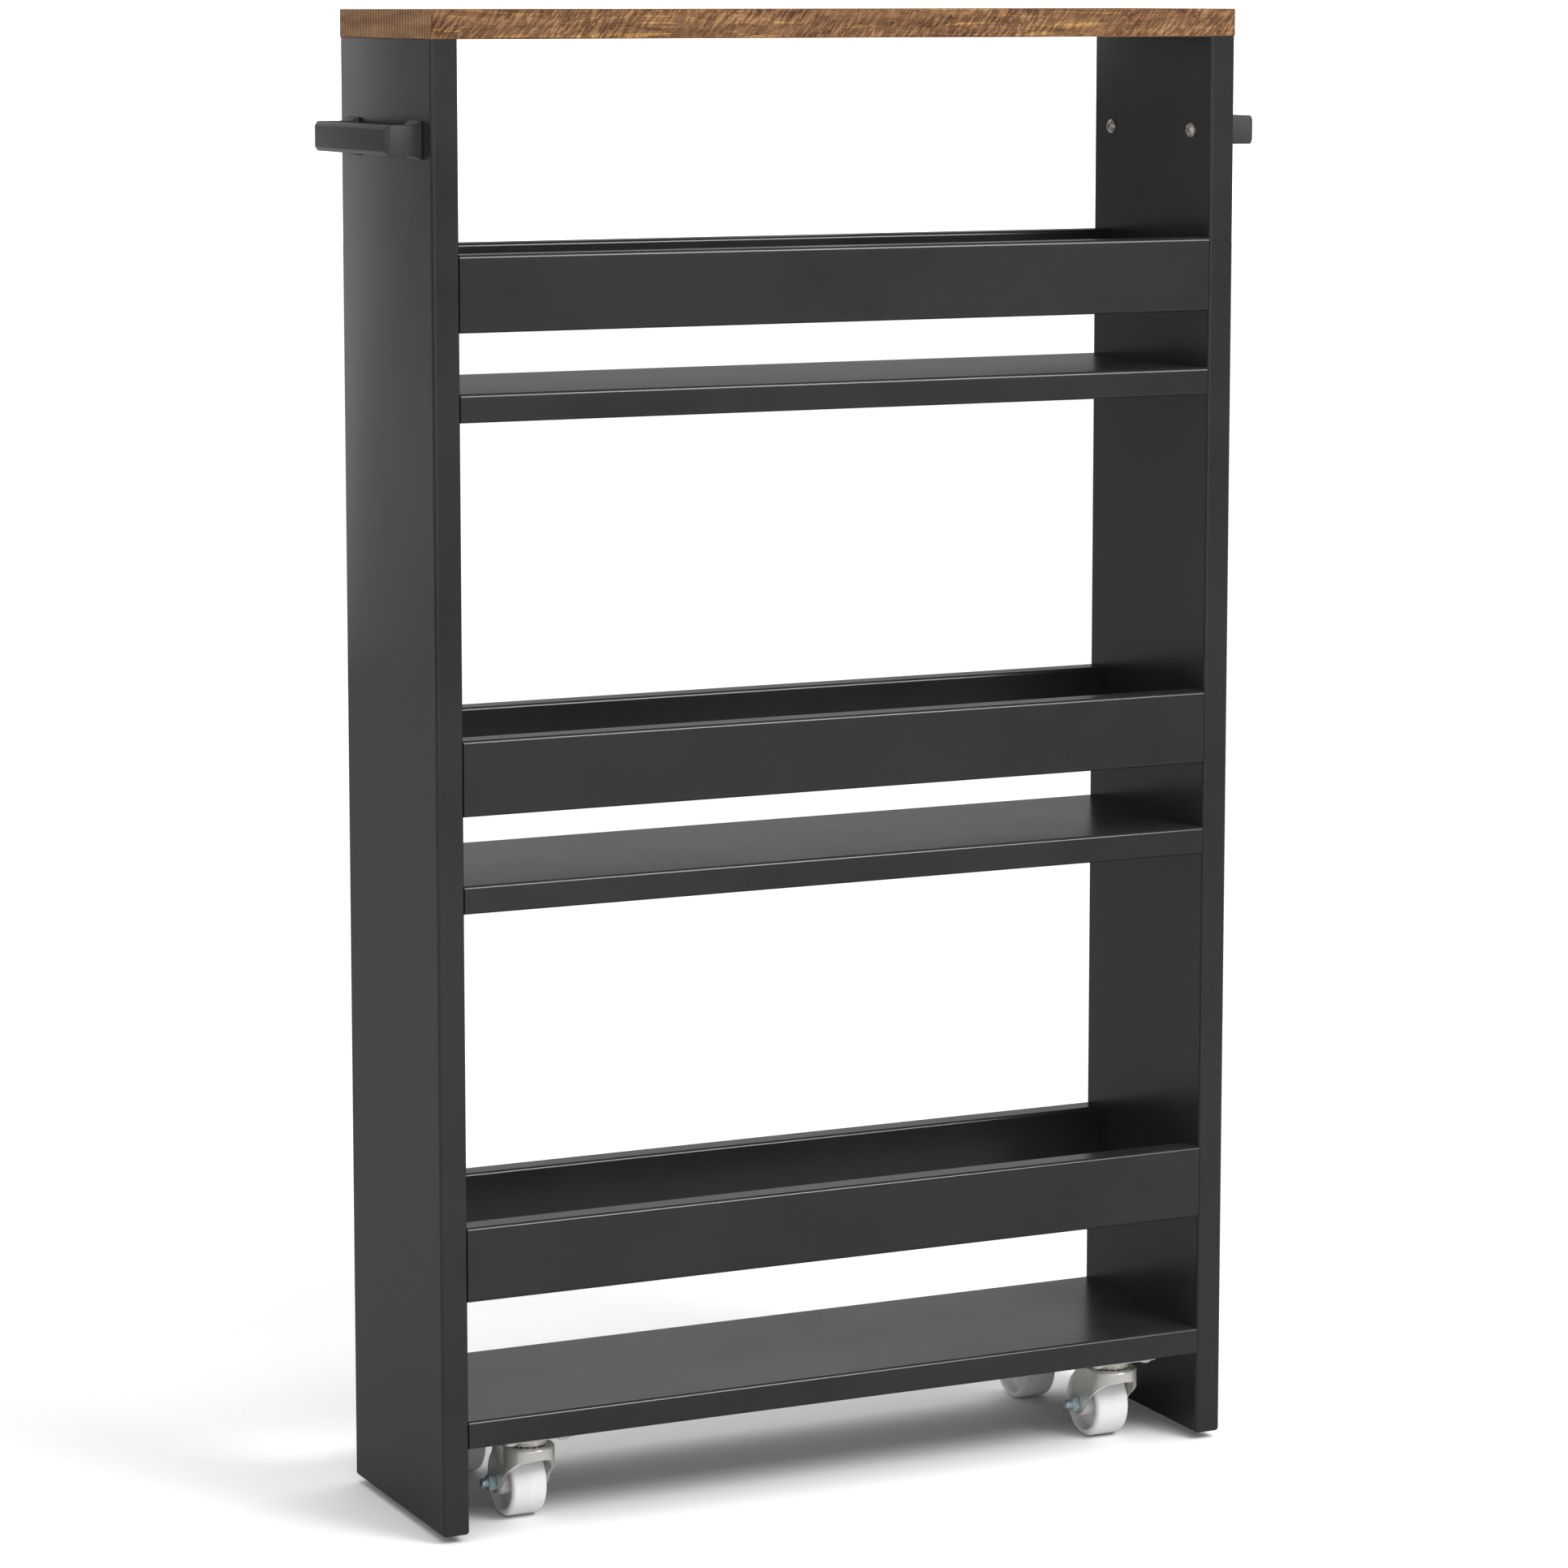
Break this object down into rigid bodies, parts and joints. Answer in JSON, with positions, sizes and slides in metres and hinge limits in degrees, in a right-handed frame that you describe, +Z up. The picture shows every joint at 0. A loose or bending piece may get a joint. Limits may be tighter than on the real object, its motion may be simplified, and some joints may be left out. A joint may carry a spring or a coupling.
{
  "type": "rolling pantry cart",
  "caption": "Slim rolling cart with a wood top, open shelves behind low rails, end handles and swivel castors.",
  "frame": {"origin": "on the floor, under the middle of the cabinet", "axes": "+Z up; +X along the width towards the right handle; -Y is the front, and at rest the castors trail towards +Y"},
  "size_m": [0.51, 0.143, 0.8],
  "materials": {
    "painted_board": "satin dark grey paint",
    "wood_top": "matt rustic brown grain",
    "black_handle": "matt dark powder coat",
    "zinc_steel": "bright zinc plate",
    "blue_zinc": "blue passivated zinc plate",
    "bright_screw": "nickel plate",
    "cam_alloy": "die-cast zinc alloy",
    "ball_steel": "polished",
    "wheel_plastic": "light grey, softly glossy",
    "dowel_wood": "plain beech"
  },
  "bodies": {
    "cabinet": {"top_board": "wood_top", "left_side_panel": "painted_board", "right_side_panel": "painted_board", "bottom_shelf": "painted_board", "middle_shelf": "painted_board", "upper_shelf": "painted_board", "lower_front_rail": "painted_board", "lower_back_rail": "painted_board", "middle_front_rail": "painted_board", "middle_back_rail": "painted_board", "upper_front_rail": "painted_board", "upper_back_rail": "painted_board", "left_handle": "black_handle", "right_handle": "black_handle", "handle_screws": "bright_screw", "castor_plate_screws": "bright_screw", "cam_bolts": "cam_alloy", "cam_locks": "cam_alloy", "shelf_dowels": "dowel_wood", "rail_dowels": "dowel_wood", "top_dowels": "dowel_wood", "front_left_castor_plate": "zinc_steel", "front_left_king_pin": "zinc_steel", "front_left_race_cup": "zinc_steel", "front_left_swivel_balls": "ball_steel", "front_right_castor_plate": "zinc_steel", "front_right_king_pin": "zinc_steel", "front_right_race_cup": "zinc_steel", "front_right_swivel_balls": "ball_steel", "back_left_castor_plate": "zinc_steel", "back_left_king_pin": "zinc_steel", "back_left_race_cup": "zinc_steel", "back_left_swivel_balls": "ball_steel", "back_right_castor_plate": "zinc_steel", "back_right_king_pin": "zinc_steel", "back_right_race_cup": "zinc_steel", "back_right_swivel_balls": "ball_steel"},
    "front_left_swivel_body": {"front_left_fork": "zinc_steel", "front_left_axle_bolt": "blue_zinc", "front_left_axle_nut": "blue_zinc", "front_left_axle_bush": "zinc_steel"},
    "front_left_wheel_body": {"front_left_wheel": "wheel_plastic"},
    "front_right_swivel_body": {"front_right_fork": "zinc_steel", "front_right_axle_bolt": "blue_zinc", "front_right_axle_nut": "blue_zinc", "front_right_axle_bush": "zinc_steel"},
    "front_right_wheel_body": {"front_right_wheel": "wheel_plastic"},
    "back_left_swivel_body": {"back_left_fork": "zinc_steel", "back_left_axle_bolt": "blue_zinc", "back_left_axle_nut": "blue_zinc", "back_left_axle_bush": "zinc_steel"},
    "back_left_wheel_body": {"back_left_wheel": "wheel_plastic"},
    "back_right_swivel_body": {"back_right_fork": "zinc_steel", "back_right_axle_bolt": "blue_zinc", "back_right_axle_nut": "blue_zinc", "back_right_axle_bush": "zinc_steel"},
    "back_right_wheel_body": {"back_right_wheel": "wheel_plastic"}
  },
  "joints": [
    {"name": "front_left_swivel", "type": "hinge", "parent": "cabinet", "child": "front_left_swivel_body", "pos_m": [-0.1775, -0.043, 0.0425], "axis": [0, 0, 1], "continuous": true},
    {"name": "front_left_roll", "type": "hinge", "parent": "front_left_swivel_body", "child": "front_left_wheel_body", "pos_m": [-0.1775, -0.027, 0.019], "axis": [1, 0, 0], "continuous": true},
    {"name": "front_right_swivel", "type": "hinge", "parent": "cabinet", "child": "front_right_swivel_body", "pos_m": [0.1775, -0.043, 0.0425], "axis": [0, 0, 1], "continuous": true},
    {"name": "front_right_roll", "type": "hinge", "parent": "front_right_swivel_body", "child": "front_right_wheel_body", "pos_m": [0.1775, -0.027, 0.019], "axis": [1, 0, 0], "continuous": true},
    {"name": "back_left_swivel", "type": "hinge", "parent": "cabinet", "child": "back_left_swivel_body", "pos_m": [-0.1775, 0.043, 0.0425], "axis": [0, 0, 1], "continuous": true},
    {"name": "back_left_roll", "type": "hinge", "parent": "back_left_swivel_body", "child": "back_left_wheel_body", "pos_m": [-0.1775, 0.059, 0.019], "axis": [1, 0, 0], "continuous": true},
    {"name": "back_right_swivel", "type": "hinge", "parent": "cabinet", "child": "back_right_swivel_body", "pos_m": [0.1775, 0.043, 0.0425], "axis": [0, 0, 1], "continuous": true},
    {"name": "back_right_roll", "type": "hinge", "parent": "back_right_swivel_body", "child": "back_right_wheel_body", "pos_m": [0.1775, 0.059, 0.019], "axis": [1, 0, 0], "continuous": true}
  ]
}
